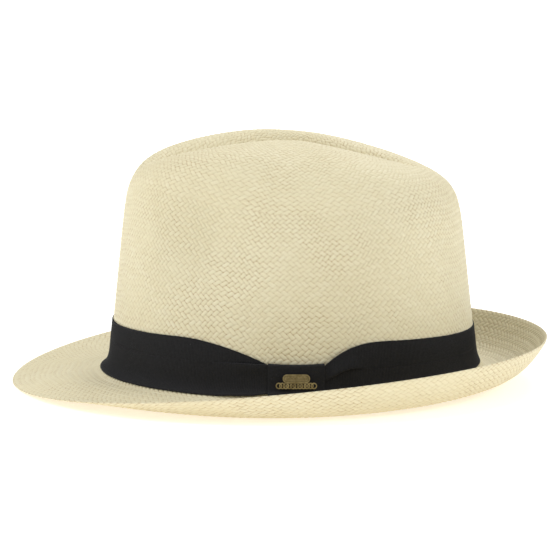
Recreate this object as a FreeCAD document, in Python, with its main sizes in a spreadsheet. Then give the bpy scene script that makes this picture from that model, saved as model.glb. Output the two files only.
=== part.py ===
import FreeCAD, Part
import Sketcher
import math
import os

# Straw panama hat, snap-brim shape, size 57.
# Frame: millimetres, +Z up, -Y the front of the hat, +X the wearer's left (the side of the knot).
# The origin is the bottom centre of the hat's bounding box.

Vector = FreeCAD.Vector

doc = FreeCAD.newDocument("panama_hat")

# ---------------------------------------------------------------- driving dimensions
DIMENSIONS = {
    # crown: the oval where it meets the brim, and its height above the table
    "crown_half_width": 85.2,
    "crown_half_length": 102.6,
    "crown_base_height": 5.0,
    "crown_height": 136.6,
    "crown_taper": 0.117,
    "front_squareness": 12.1,
    "back_squareness": 10.5,
    "side_squareness": 3.1,
    "front_shoulder": 16.0,
    "back_shoulder": 17.5,
    "side_shoulder": 3.2,
    "front_fall": 17.3,
    "back_fall": 27.8,
    # the crease along the top of the crown, and the pinch on each side of its front
    "crease_depth": 18.4,
    "crease_half_width": 14.0,
    "crease_half_length": 70.0,
    "crease_narrowing": 0.41,
    "crease_centre": -9.5,
    "pinch_depth": 13.0,
    "pinch_centre": -46.0,
    "pinch_height": 92.0,
    "pinch_length": 30.0,
    "pinch_rise": 32.0,
    # brim
    "break_radius": 9.0,
    "brim_front": 155.7,
    "brim_back": 140.1,
    "brim_half_width": 129.8,
    "brim_edge_height": 15.2,
    "brim_edge_tilt": 12.0,
    "brim_edge_roll": 2.3,
    "straw_thickness": 1.2,
    # ribbon round the crown, pleated at both sides of its knot
    "band_bottom": 6.5,
    "band_top": 34.3,
    "band_thickness": 0.6,
    "layer_gap": 0.25,
    "gather": 12.3,
    "gather_ahead": 33.0,
    "gather_behind": 41.0,
    "front_pleat_height": 23.6,
    "rear_pleat_height": 15.4,
    "rear_pleat_rise": 6.2,
    # knot: a sleeve of ribbon round the gathered band
    "knot_half_width": 15.0,
    "knot_behind_middle": 1.7,
    "knot_thickness": 0.5,
    "knot_bottom": 6.0,
    "knot_top": 24.5,
    # badge pinned through the knot
    "badge_height": 15.0,
    "badge_gap": 0.8,
    "badge_lean": 4.0,
    "badge_thickness": 1.2,
    "plate_length": 14.5,
    "plate_width": 4.6,
    "plate_rise": 2.0,
    "field_length": 13.1,
    "field_width": 3.2,
    "field_depth": 0.35,
    "bead_radius": 0.42,
    "bead_pitch": 1.6,
    "bead_count": 7,
    "ring_outer_radius": 1.7,
    "ring_inner_radius": 1.1,
    "ring_thickness": 0.8,
    "ring_pitch": 1.85,
    "ring_count": 11,
    "ring_rise": -1.75,
    "prong_radius": 0.5,
    "prong_spread": 9.0,
    "prong_clearance": 0.25,
    # sweatband sewn inside the opening
    "sweatband_bottom": 11.0,
    "sweatband_top": 38.0,
    "sweatband_thickness": 0.8,
    "reed_radius": 1.0,
    "reed_height": 9.8,
    "stitch_height": 13.0,
    "thread_width": 0.45,
    "thread_depth": 0.5,
    "label_thickness": 0.3,
    # from the middle of the crown's oval to the middle of the whole hat
    "centring_ahead": 7.5,
    "centring_up": 0.01,
}

sheet = doc.addObject("Spreadsheet::Sheet", "sizes")
for row, (alias, value) in enumerate(DIMENSIONS.items(), start=1):
    sheet.set(f"A{row}", alias)
    sheet.set(f"B{row}", str(value))
    sheet.setAlias(f"B{row}", alias)
doc.recompute()


def size(alias):
    return float(getattr(sheet, alias))


# The crown's oval is not in the middle of the brim, so every piece is moved by this much.
CENTRING = Vector(0, size("centring_ahead"), size("centring_up"))


# ---------------------------------------------------------------- the shape of the straw
COLUMNS = 64           # stations round the hat
FINE_STEPS = 160       # steps used to measure a crown profile before it is divided evenly
CROWN_ROWS = 52        # stations from the top of the brim break to the tip
BREAK_ROWS = 4
BRIM_ROWS = 7
TIP_SPAN = 3.0         # radius of the small level disc at the tip
TIP_ROWS = 2


def station_angle(column):
    return 2 * math.pi * column / COLUMNS


def mix(low, high, share):
    return low + (high - low) * share


def crown_point(angle, rise):
    """A point of the crown's outer face; rise runs from 0 at the base to 1 at the tip."""
    forward = (1 - math.sin(angle)) / 2
    lengthwise = math.sin(angle) ** 2
    end_squareness = mix(size("back_squareness"), size("front_squareness"), forward)
    end_shoulder = mix(size("back_shoulder"), size("front_shoulder"), forward)
    squareness = mix(size("side_squareness"), end_squareness, lengthwise)
    shoulder = mix(size("side_shoulder"), end_shoulder, lengthwise)
    turn = rise * math.pi / 2
    spread = max(math.cos(turn), 0.0) ** (2 / squareness)
    lift = math.sin(turn) ** (2 / shoulder)
    reach = spread * (1 - size("crown_taper") * lift)
    x = size("crown_half_width") * reach * math.cos(angle)
    y = size("crown_half_length") * reach * math.sin(angle)
    fall, curve = (size("front_fall"), 1.68) if y < 0 else (size("back_fall"), 1.13)
    peak = size("crown_height") - fall * abs(y / size("crown_half_length")) ** curve
    z = mix(size("crown_base_height"), peak, lift)
    return dent(x, y, z)


def dent(x, y, z):
    """Presses the top crease and the two front pinches into the blocked crown."""
    along = (y - size("crease_centre")) / size("crease_half_length")
    window = math.exp(-abs(along) ** 5.2)
    crease_width = size("crease_half_width") * (0.35 + 0.65 * window)
    crease_width *= 1 - size("crease_narrowing") * along
    near_top = 1 / (1 + math.exp((95 - z) / 6))
    profile = math.exp(-abs(x / crease_width) ** 3)
    z -= size("crease_depth") * window * profile * near_top
    beside = (y - size("pinch_centre")) / size("pinch_length")
    above = (z - size("pinch_height")) / size("pinch_rise")
    x -= size("pinch_depth") * math.exp(-beside ** 2 - above ** 2) * x / 60
    return Vector(x, y, z)


def brim_point(angle, outward):
    """A point of the brim's top face; outward runs from 0 at the brim break to 1 at the edge."""
    start_x = (size("crown_half_width") + size("break_radius")) * math.cos(angle)
    start_y = (size("crown_half_length") + size("break_radius")) * math.sin(angle)
    middle = (size("brim_back") - size("brim_front")) / 2
    half_length = (size("brim_back") + size("brim_front")) / 2
    edge_x = size("brim_half_width") * math.cos(angle) * (1 - 0.04 * math.sin(angle))
    edge_y = middle + half_length * math.sin(angle)
    edge_z = size("brim_edge_height") + size("brim_edge_tilt") * math.sin(angle)
    edge_z += size("brim_edge_roll") * math.cos(2 * angle)
    side = math.cos(angle) ** 2
    forward = (1 - math.sin(angle)) / 2
    power = mix(2.6, 2.0, forward) * (1 - side) + 3.4 * side
    sag = 4.0 * side * max(math.sin(math.pi * outward), 0.0) ** 1.5
    z = mix(size("crown_base_height"), edge_z, outward ** power) - sag
    return Vector(mix(start_x, edge_x, outward), mix(start_y, edge_y, outward), z)


def crowded_ends(share):
    """Steps that lie close together near 0 and near 1."""
    return share ** 4 / (share ** 4 + (1 - share) ** 4)


def divide_crown(angle):
    """Evenly spaced points up the crown's outer face, from the brim break to the tip."""
    floor = size("crown_base_height") + size("break_radius")
    fine = [crown_point(angle, crowded_ends(step / FINE_STEPS)) for step in range(FINE_STEPS + 1)]
    fine = [point for point in fine if point.z > floor]
    travelled = [0.0]
    for before, after in zip(fine, fine[1:]):
        travelled.append(travelled[-1] + (after - before).Length)
    points = []
    place = 0
    for row in range(CROWN_ROWS):
        wanted = travelled[-1] * row / (CROWN_ROWS - 1)
        while place < len(fine) - 2 and travelled[place + 1] < wanted:
            place += 1
        share = (wanted - travelled[place]) / (travelled[place + 1] - travelled[place])
        points.append(fine[place] + (fine[place + 1] - fine[place]) * share)
    return points


def break_point(angle, turn):
    """The rounded inside corner between crown and brim; turn runs from 0 up top to 1 below."""
    radius = size("break_radius")
    flare = radius * (1 - math.cos(turn * math.pi / 2))
    z = size("crown_base_height") + radius * (1 - math.sin(turn * math.pi / 2))
    reach = 1 - size("crown_taper") * (z - size("crown_base_height")) / size("crown_height")
    x = (size("crown_half_width") * reach + flare) * math.cos(angle)
    y = (size("crown_half_length") * reach + flare) * math.sin(angle)
    return Vector(x, y, z)


def outer_column(angle):
    """The straw's outer face at one station, from the tip down the crown and out to the edge."""
    crown = divide_crown(angle)[::-1]
    level = crown_point(0.0, 1.0).z - 0.3
    for row, reach in enumerate((TIP_SPAN, TIP_SPAN * 1.6)):
        crown[row] = Vector(reach * math.cos(angle), reach * math.sin(angle), level)
    corner = [break_point(angle, step / BREAK_ROWS) for step in range(1, BREAK_ROWS)]
    brim = [brim_point(angle, step / BRIM_ROWS) for step in range(BRIM_ROWS + 1)]
    return crown + corner + brim


def offset_net(net, distance):
    """Moves each point of a net along the face's normal; positive is out and up."""
    moved = []
    for column in range(COLUMNS):
        points = []
        for row, point in enumerate(net[column]):
            if row < TIP_ROWS:
                points.append(point + Vector(0, 0, distance))
                continue
            after = net[column][min(row + 1, len(net[column]) - 1)]
            along = after - net[column][row - 1]
            across = net[(column + 1) % COLUMNS][row] - net[column - 1][row]
            normal = along.cross(across)
            normal.normalize()
            points.append(point + normal * distance)
        moved.append(points)
    return moved


OUTER = [outer_column(station_angle(column)) for column in range(COLUMNS)]


def make_skin(net, round_the_hat, closed_section):
    """One smooth surface over a net of control points."""
    counts = []
    knots = []
    for points, closed in ((net, round_the_hat), (net[0], closed_section)):
        number = len(points)
        if closed:
            knots.append(list(range(number + 1)))
            counts.append([1] * (number + 1))
        else:
            knots.append(list(range(number - 2)))
            counts.append([4] + [1] * (number - 4) + [4])
    skin = Part.BSplineSurface()
    skin.buildFromPolesMultsKnots(
        net, counts[0], counts[1], knots[0], knots[1], round_the_hat, closed_section, 3, 3
    )
    return skin


def solid_from(faces):
    shell = Part.makeShell(faces)
    if len(faces) > 1:
        shell.sewShape()
    solid = Part.Solid(shell)
    return solid if solid.Volume > 0 else solid.reversed()


def add_feature(label, shape):
    item = doc.addObject("Part::Feature", label)
    item.Label = label
    item.Shape = shape
    item.Placement = FreeCAD.Placement(CENTRING, FreeCAD.Rotation())
    return item


def straw_body():
    """Crown and brim, woven in one piece: an outer skin, a rounded edge and an inner skin."""
    thickness = size("straw_thickness")
    inner = offset_net(OUTER, -thickness)
    middle = offset_net(OUTER, -thickness / 2)
    net = []
    for column in range(COLUMNS):
        outward = OUTER[column][-1] - OUTER[column][-2]
        outward.normalize()
        lip = middle[column][-1] + outward * thickness / 2
        net.append(OUTER[column] + [lip] + inner[column][::-1])
    skin = make_skin(net, True, False)
    faces = [skin.toShape()]
    for edge in faces[0].Edges:
        if edge.isClosed() and edge.Length < TIP_SPAN * 8:
            faces.append(Part.Face(Part.Wire([edge])))
    return add_feature("straw_body", solid_from(faces))


# ---------------------------------------------------------------- strips on the crown's wall
def wall_row(angle, height):
    """A point of the crown's outer face, found at a given height on its wall or break."""
    floor = size("crown_base_height") + size("break_radius")
    if height < floor:
        drop = (floor - height) / size("break_radius")
        return break_point(angle, math.asin(min(drop, 1.0)) * 2 / math.pi)
    low, high = 0.0, 0.6
    for _ in range(40):
        guess = (low + high) / 2
        if crown_point(angle, guess).z < height:
            low = guess
        else:
            high = guess
    return crown_point(angle, low)


def wall_normal(angle, height):
    round_step = wall_row(angle + 0.01, height) - wall_row(angle - 0.01, height)
    up_step = wall_row(angle, height + 0.5) - wall_row(angle, height - 0.5)
    normal = round_step.cross(up_step)
    normal.normalize()
    return normal


def wall_point(angle, height, distance):
    return wall_row(angle, height) + wall_normal(angle, height) * distance


STATIONS = [station_angle(column) for column in range(COLUMNS)]


def closed_solid(profiles):
    """A solid inside a skin over closed profiles, one profile at each station."""
    return solid_from([make_skin(profiles, True, True).toShape()])


def strip_solid(bottom, top, near, far):
    """A strip closed round the hat between two distances from the crown's outer face."""
    profiles = []
    for angle in STATIONS:
        heights = [mix(bottom, top, row / 4) for row in range(5)]
        inside = [wall_point(angle, height, near) for height in heights]
        outside = [wall_point(angle, height, far) for height in heights[::-1]]
        profiles.append(inside + outside)
    return closed_solid(profiles)


def arc_angle(length):
    """The angle round the crown that a length beside the knot spans."""
    return length / size("crown_half_length")


def beside_knot(angle):
    """The length along the band from the middle of the knot; positive is towards the back."""
    angle -= arc_angle(size("knot_behind_middle"))
    return math.atan2(math.sin(angle), math.cos(angle)) * size("crown_half_length")


def fade(value, start, end):
    """1 before the start, 0 after the end, and smooth between."""
    share = min(max((value - start) / (end - start), 0.0), 1.0)
    return 1 - share * share * (3 - 2 * share)


def gathered(angle):
    """How strongly the ribbon is gathered, from 0 to 1 at the knot."""
    beyond = abs(beside_knot(angle)) - size("knot_half_width")
    if beside_knot(angle) < 0:
        share, power = beyond / size("gather_ahead"), 1.35
    else:
        share, power = beyond / size("gather_behind"), 3.0
    return (1 - min(max(share, 0.0), 1.0)) ** power


def band_top(angle):
    free = size("band_top") - 1.4 * math.sin(angle) + 1.65 * math.cos(2 * angle)
    return free - size("gather") * gathered(angle)


def band_bottom(angle):
    return size("band_bottom") + 0.8 * fade(abs(beside_knot(angle)), 15, 22)


def pleat_layers(angle, height):
    """Layers of ribbon that the pleats add, from 0 to 2."""
    along = beside_knot(angle)
    beyond = abs(along) - size("knot_half_width")
    under_knot = fade(abs(along), 10, 15)
    if along < 0:
        fold = size("front_pleat_height")
        covered = fade(height, fold - 0.8, fold + 0.8) * fade(beyond, 6, 30)
    else:
        share = min(max(beyond / 16, 0.0), 1.0)
        fold = size("rear_pleat_height") + size("rear_pleat_rise") * math.sin(share * math.pi / 2)
        covered = (1 - fade(height, fold - 0.8, fold + 0.8)) * fade(beyond, 6, 30)
    return 2 * max(under_knot, covered)


def band_start(angle):
    """The band's distance from the straw: it rises to pass through the knot's sleeve."""
    lift = size("knot_thickness") + size("layer_gap")
    return size("layer_gap") + lift * fade(abs(beside_knot(angle)), 15, 30)


def band_angles():
    """Stations round the hat, close together beside the knot."""
    middle = arc_angle(size("knot_behind_middle"))
    reach = arc_angle(62)
    close = [middle + reach * step / 25 for step in range(-25, 26)]
    wide = 52
    step = (2 * math.pi - 2 * reach) / wide
    return close + [middle + reach + step * number for number in range(1, wide)]


def hat_band():
    """The ribbon round the crown, gathered into one pleat at each side of its knot."""
    rows = 13
    profiles = []
    for angle in band_angles():
        near = band_start(angle)
        heights = [mix(band_bottom(angle), band_top(angle), row / (rows - 1)) for row in range(rows)]
        inside = [wall_point(angle, height, near) for height in heights]
        outside = []
        for height in heights[::-1]:
            layers = 1 + 0.9 * pleat_layers(angle, height)
            outside.append(wall_point(angle, height, near + layers * size("band_thickness")))
        profiles.append(inside + outside)
    return add_feature("hat_band", closed_solid(profiles))


def knot_sides():
    """The distances of the knot's back and front faces from the straw."""
    back = size("layer_gap")
    room = 3 * size("layer_gap") + 2 * size("knot_thickness") + 2.8 * size("band_thickness")
    return back, back + room - size("layer_gap")


def flattened_loop(low, high, back, front, beyond):
    """A solid flat loop across the band, reaching a little beyond the knot's two sides."""
    shares = (0.0, 0.04, 0.2, 0.4, 0.6, 0.8, 0.96, 1.0)
    middle = arc_angle(size("knot_behind_middle"))
    reach = arc_angle(size("knot_half_width") + beyond)
    profiles = []
    for column in range(13):
        angle = middle + reach * (column / 6 - 1)
        heights = [mix(low, high, share) for share in shares]
        inside = [wall_point(angle, height, back) for height in heights]
        outside = [wall_point(angle, height, front) for height in heights[::-1]]
        profiles.append(inside + outside)
    skin = make_skin(profiles, False, True)
    first, last = skin.bounds()[:2]
    caps = [Part.makeFilledFace([skin.uIso(value).toShape()]) for value in (first, last)]
    return solid_from([skin.toShape()] + caps)


def band_knot():
    """A short ribbon wrapped round the gathered band, with two holes for the badge's prongs."""
    back, front = knot_sides()
    thickness = size("knot_thickness")
    low, high = size("knot_bottom"), size("knot_top")
    wrap = flattened_loop(low, high, back, front, 0)
    room = flattened_loop(
        low + thickness, high - thickness, back + thickness, front - thickness, 2
    )
    wrap = wrap.cut(room)
    depth = size("badge_gap") + thickness + size("layer_gap") / 2
    for spot in prong_spots():
        hole = Part.makeCylinder(
            size("prong_radius") + size("prong_clearance"),
            depth,
            spot.Base - CENTRING,
            spot.Rotation.multVec(Vector(-1, 0, 0)),
        )
        wrap = wrap.cut(hole)
    return add_feature("band_knot", wrap.Solids[0])


def patch_solid(low, high, start, end, near, far):
    """A four-sided panel on the crown's wall, between two distances from its outer face."""
    skins = []
    for distance in (near, far):
        grid = []
        for column in range(9):
            angle = mix(start, end, column / 8)
            heights = [mix(low, high, row / 4) for row in range(5)]
            grid.append([wall_point(angle, height, distance) for height in heights])
        skins.append(make_skin(grid, False, False))
    faces = [skin.toShape() for skin in skins]
    first_u, last_u, first_v, last_v = skins[0].bounds()
    for value in (first_u, last_u):
        faces.append(Part.makeRuledSurface(*[skin.uIso(value).toShape() for skin in skins]))
    for value in (first_v, last_v):
        faces.append(Part.makeRuledSurface(*[skin.vIso(value).toShape() for skin in skins]))
    return solid_from(faces)


# ---------------------------------------------------------------- inside the opening
def sweatband():
    """The band that touches the head, inside the opening."""
    near = -size("straw_thickness") - size("layer_gap") * 2
    far = near - size("sweatband_thickness")
    solid = strip_solid(size("sweatband_bottom"), size("sweatband_top"), far, near)
    return add_feature("sweatband", solid)


def inside_face():
    """The distance from the crown's outer face to the sweatband's inner face."""
    layers = size("straw_thickness") + 2 * size("layer_gap") + size("sweatband_thickness")
    return -layers


def sweatband_reed():
    """The round reed in the sweatband's lower hem, by which it is sewn into the opening."""
    sides = 12
    # control points stand out a little, because the smooth skin runs inside them
    reach = size("reed_radius") * 3 / (2 + math.cos(2 * math.pi / sides))
    distance = -size("straw_thickness") - size("layer_gap") * 2 - size("reed_radius")
    profiles = []
    for angle in STATIONS:
        centre = wall_point(angle, size("reed_height"), distance)
        outward = wall_normal(angle, size("reed_height"))
        along = Vector(-outward.y, outward.x, 0)
        along.normalize()
        down = outward.cross(along) * -1
        points = []
        for side in range(sides):
            turn = 2 * math.pi * side / sides
            points.append(centre + (outward * math.cos(turn) + down * math.sin(turn)) * reach)
        profiles.append(points)
    return add_feature("sweatband_reed", closed_solid(profiles))


def sweatband_stitching():
    """The line of thread that runs round the sweatband just above its reed."""
    low = size("stitch_height") - size("thread_width") / 2
    high = size("stitch_height") + size("thread_width") / 2
    near = inside_face() - size("layer_gap")
    far = near - size("thread_depth")
    corners = ((low, near), (low, far), (high, far), (high, near))
    sides = []
    for start, end in zip(corners, corners[1:] + corners[:1]):
        rows = []
        for row in range(4):
            height = mix(start[0], end[0], row / 3)
            distance = mix(start[1], end[1], row / 3)
            rows.append((height, distance))
        grid = [[wall_point(angle, *row) for row in rows] for angle in STATIONS]
        sides.append(make_skin(grid, True, False).toShape())
    return add_feature("sweatband_stitching", solid_from(sides))


def inside_patch(label, low, high, middle, length, thickness):
    """A small panel lying on the sweatband's inner face."""
    near = inside_face() - size("layer_gap")
    half = arc_angle(length / 2)
    return add_feature(
        label, patch_solid(low, high, middle - half, middle + half, near, near - thickness)
    )


# ---------------------------------------------------------------- badge
def own_plane(body, role):
    for feature in body.Origin.OriginFeatures:
        if feature.Role == role:
            return feature
    raise ValueError(role)


def capsule_sketch(body, name, length, width, height, forward=0.0):
    """A capsule outline on the body's upright plane; the names are cells of the sheet."""
    sketch = body.newObject("Sketcher::SketchObject", name)
    sketch.AttachmentSupport = [(own_plane(body, "YZ_Plane"), "")]
    sketch.MapMode = "FlatFace"
    sketch.AttachmentOffset = FreeCAD.Placement(Vector(0, 0, forward), FreeCAD.Rotation())
    half = (size(length) - size(width)) / 2
    radius = size(width) / 2
    middle = size(height)
    across = Vector(0, 0, 1)
    left = Part.Circle(Vector(-half, middle, 0), across, radius)
    right = Part.Circle(Vector(half, middle, 0), across, radius)
    low_left, high_left = Vector(-half, middle - radius, 0), Vector(-half, middle + radius, 0)
    low_right, high_right = Vector(half, middle - radius, 0), Vector(half, middle + radius, 0)
    sketch.addGeometry(Part.LineSegment(low_left, low_right))
    sketch.addGeometry(Part.ArcOfCircle(right, -math.pi / 2, math.pi / 2))
    sketch.addGeometry(Part.LineSegment(high_right, high_left))
    sketch.addGeometry(Part.ArcOfCircle(left, math.pi / 2, 3 * math.pi / 2))
    for first, second, ends in ((0, 1, (2, 1)), (1, 2, (2, 1)), (2, 3, (2, 1)), (3, 0, (2, 1))):
        sketch.addConstraint(Sketcher.Constraint("Tangent", first, ends[0], second, ends[1]))
    sketch.addConstraint(Sketcher.Constraint("Horizontal", 0))
    radius_at = sketch.addConstraint(Sketcher.Constraint("Radius", 1, radius))
    sketch.renameConstraint(radius_at, "radius")
    sketch.setExpression("Constraints.radius", f"sizes.{width} / 2")
    span_at = sketch.addConstraint(Sketcher.Constraint("DistanceX", 3, 3, 1, 3, 2 * half))
    sketch.renameConstraint(span_at, "span")
    sketch.setExpression("Constraints.span", f"sizes.{length} - sizes.{width}")
    rise_at = sketch.addConstraint(Sketcher.Constraint("DistanceY", -1, 1, 1, 3, middle))
    sketch.renameConstraint(rise_at, "rise")
    sketch.setExpression("Constraints.rise", f"sizes.{height}")
    place_at = sketch.addConstraint(Sketcher.Constraint("DistanceX", -1, 1, 1, 3, half))
    sketch.renameConstraint(place_at, "place")
    sketch.setExpression("Constraints.place", f"(sizes.{length} - sizes.{width}) / 2")
    return sketch


def circles_sketch(body, name, circles):
    """Circles on the body's upright plane, each given as (along, rise, the radius's cell)."""
    sketch = body.newObject("Sketcher::SketchObject", name)
    sketch.AttachmentSupport = [(own_plane(body, "YZ_Plane"), "")]
    sketch.MapMode = "FlatFace"
    for number, (along, rise, radius) in enumerate(circles):
        sketch.addGeometry(Part.Circle(Vector(along, rise, 0), Vector(0, 0, 1), size(radius)))
        at = sketch.addConstraint(Sketcher.Constraint("Radius", number, size(radius)))
        sketch.renameConstraint(at, f"radius_{number}")
        sketch.setExpression(f"Constraints.radius_{number}", f"sizes.{radius}")
    return sketch


def spread_evenly(count, pitch):
    return [(number - (count - 1) / 2) * pitch for number in range(count)]


def pad(body, name, sketch, depth, backwards=False):
    feature = body.newObject("PartDesign::Pad", name)
    feature.Profile = sketch
    feature.Reversed = backwards
    feature.setExpression("Length", depth)
    body.Tip = feature
    doc.recompute()
    return feature


def badge_place():
    """Where the badge stands: just off the knot's face, its lower edge leaning out."""
    middle = arc_angle(size("knot_behind_middle"))
    height = size("badge_height")
    distance = knot_sides()[1] + size("badge_gap")
    at = wall_point(middle, height, distance) + CENTRING
    normal = wall_normal(middle, height)
    upright = FreeCAD.Rotation(Vector(1, 0, 0), Vector(normal.x, 0, normal.z))
    lean = FreeCAD.Rotation(Vector(0, 1, 0), -size("badge_lean"))
    return FreeCAD.Placement(at, upright.multiply(lean))


def prong_spots():
    """Where each prong leaves the badge's back."""
    place = badge_place()
    spots = []
    for along in spread_evenly(2, size("prong_spread")):
        offset = Vector(0, along, size("plate_rise"))
        spots.append(place.multiply(FreeCAD.Placement(offset, FreeCAD.Rotation())))
    return spots


def badge():
    """A small cast pin: a rimmed plate, a chain of linked rings under it, two prongs behind."""
    body = doc.addObject("PartDesign::Body", "badge")
    body.Label = "badge"
    plate = capsule_sketch(body, "plate_outline", "plate_length", "plate_width", "plate_rise")
    pad(body, "plate", plate, "sizes.badge_thickness")
    plate_volume = body.Shape.Volume
    field = capsule_sketch(
        body, "field_outline", "field_length", "field_width", "plate_rise", size("badge_thickness")
    )
    recess = body.newObject("PartDesign::Pocket", "field")
    recess.Profile = field
    recess.setExpression("Length", "sizes.field_depth")
    body.Tip = recess
    doc.recompute()
    if body.Shape.Volume >= plate_volume:
        raise RuntimeError("the badge's recess cuts nothing")
    rise = size("plate_rise")
    beads = [
        (along, rise, "bead_radius")
        for along in spread_evenly(int(size("bead_count")), size("bead_pitch"))
    ]
    pad(body, "beads", circles_sketch(body, "bead_outlines", beads), "sizes.badge_thickness")
    rings = spread_evenly(int(size("ring_count")), size("ring_pitch"))
    for number, along in enumerate(rings):
        outline = [
            (along, size("ring_rise"), "ring_outer_radius"),
            (along, size("ring_rise"), "ring_inner_radius"),
        ]
        sketch = circles_sketch(body, f"ring_outline_{number}", outline)
        pad(body, f"ring_{number}", sketch, "sizes.ring_thickness")
    prongs = [(along, rise, "prong_radius") for along in spread_evenly(2, size("prong_spread"))]
    sketch = circles_sketch(body, "prong_outlines", prongs)
    pad(body, "prongs", sketch, "sizes.badge_gap + 0.8 * sizes.knot_thickness", backwards=True)
    body.Placement = badge_place()
    return body


PIECES = [
    straw_body(),
    hat_band(),
    band_knot(),
    badge(),
    sweatband(),
    sweatband_reed(),
    sweatband_stitching(),
    inside_patch("sweatband_bow", 14.4, 21.4, math.pi / 2, 18.0, size("band_thickness")),
    inside_patch("size_label", 24.0, 34.0, math.pi / 2, 26.0, size("label_thickness")),
]
doc.recompute()

for item in doc.Objects:
    if "Invalid" in item.State or "Error" in item.State:
        raise RuntimeError(f"{item.Name} failed: {item.State}")
for piece in PIECES:
    if piece.Shape.isNull() or not piece.Shape.isValid() or len(piece.Shape.Solids) != 1:
        raise RuntimeError(f"{piece.Label} is not one valid solid")

os.makedirs("parts", exist_ok=True)
for piece in PIECES:
    box = piece.Shape.BoundBox
    print(piece.Label, round(piece.Shape.Volume, 1), box)
    piece.Shape.exportStep(f"parts/{piece.Label}.step")
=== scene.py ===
import math

import bpy
import numpy as np
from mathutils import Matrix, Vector


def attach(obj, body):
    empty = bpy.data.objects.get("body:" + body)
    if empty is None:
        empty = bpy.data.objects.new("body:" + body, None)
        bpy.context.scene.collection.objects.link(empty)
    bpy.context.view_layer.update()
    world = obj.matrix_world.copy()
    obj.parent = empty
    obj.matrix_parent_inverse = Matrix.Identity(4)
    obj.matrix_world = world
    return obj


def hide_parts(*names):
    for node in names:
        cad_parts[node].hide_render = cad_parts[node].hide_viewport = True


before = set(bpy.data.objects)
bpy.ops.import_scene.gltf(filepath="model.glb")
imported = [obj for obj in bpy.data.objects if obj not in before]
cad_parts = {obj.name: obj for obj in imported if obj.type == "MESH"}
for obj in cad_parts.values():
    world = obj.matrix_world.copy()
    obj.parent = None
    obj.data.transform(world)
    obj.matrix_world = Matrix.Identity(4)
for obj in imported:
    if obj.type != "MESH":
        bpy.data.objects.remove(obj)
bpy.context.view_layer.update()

MM = 0.001
rng = np.random.default_rng(57)

# ------------------------------------------------------------------ driving sizes, in millimetres
# The straw's shape repeats the frame's own control net, so that the woven skin lies on it.
COLUMNS = 64
FINE_STEPS = 160
CROWN_ROWS = 52
BREAK_ROWS = 4
BRIM_ROWS = 7
TIP_SPAN = 3.0
TIP_ROWS = 2
HALF_WIDTH = 85.2
HALF_LENGTH = 102.6
BASE_HEIGHT = 5.0
CROWN_HEIGHT = 136.6
TAPER = 0.117
SQUARENESS = {"front": 12.1, "back": 10.5, "side": 3.1}
SHOULDER = {"front": 16.0, "back": 17.5, "side": 3.2}
FRONT_FALL, FRONT_CURVE = 17.3, 1.68
BACK_FALL, BACK_CURVE = 27.8, 1.13
CREASE_DEPTH = 18.4
CREASE_HALF_WIDTH = 14.0
CREASE_HALF_LENGTH = 70.0
CREASE_NARROWING = 0.41
CREASE_CENTRE = -9.5
PINCH_DEPTH = 13.0
PINCH_CENTRE = -46.0
PINCH_HEIGHT = 92.0
PINCH_LENGTH = 30.0
PINCH_RISE = 32.0
BREAK_RADIUS = 9.0
BRIM_FRONT = 155.7
BRIM_BACK = 140.1
BRIM_HALF_WIDTH = 129.8
EDGE_HEIGHT = 15.2
EDGE_TILT = 12.0
EDGE_ROLL = 2.3
STRAW_THICKNESS = 1.2
CENTRING = np.array([0.0, 7.5, 0.01])


def mix(low, high, share):
    return low + (high - low) * share


# ------------------------------------------------------------------ the straw's control net
def crown_point(angle, rise):
    """A point of the crown's outer face; rise runs from 0 at the base to 1 at the tip."""
    forward = (1 - math.sin(angle)) / 2
    lengthwise = math.sin(angle) ** 2
    end_squareness = mix(SQUARENESS["back"], SQUARENESS["front"], forward)
    end_shoulder = mix(SHOULDER["back"], SHOULDER["front"], forward)
    squareness = mix(SQUARENESS["side"], end_squareness, lengthwise)
    shoulder = mix(SHOULDER["side"], end_shoulder, lengthwise)
    turn = rise * math.pi / 2
    spread = max(math.cos(turn), 0.0) ** (2 / squareness)
    lift = math.sin(turn) ** (2 / shoulder)
    reach = spread * (1 - TAPER * lift)
    x = HALF_WIDTH * reach * math.cos(angle)
    y = HALF_LENGTH * reach * math.sin(angle)
    fall, curve = (FRONT_FALL, FRONT_CURVE) if y < 0 else (BACK_FALL, BACK_CURVE)
    peak = CROWN_HEIGHT - fall * abs(y / HALF_LENGTH) ** curve
    return dent(x, y, mix(BASE_HEIGHT, peak, lift))


def dent(x, y, z):
    """Presses the top crease and the two front pinches into the blocked crown."""
    along = (y - CREASE_CENTRE) / CREASE_HALF_LENGTH
    window = math.exp(-abs(along) ** 5.2)
    crease_width = CREASE_HALF_WIDTH * (0.35 + 0.65 * window) * (1 - CREASE_NARROWING * along)
    near_top = 1 / (1 + math.exp((95 - z) / 6))
    z -= CREASE_DEPTH * window * math.exp(-abs(x / crease_width) ** 3) * near_top
    beside = (y - PINCH_CENTRE) / PINCH_LENGTH
    above = (z - PINCH_HEIGHT) / PINCH_RISE
    x -= PINCH_DEPTH * math.exp(-beside ** 2 - above ** 2) * x / 60
    return np.array([x, y, z])


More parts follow.
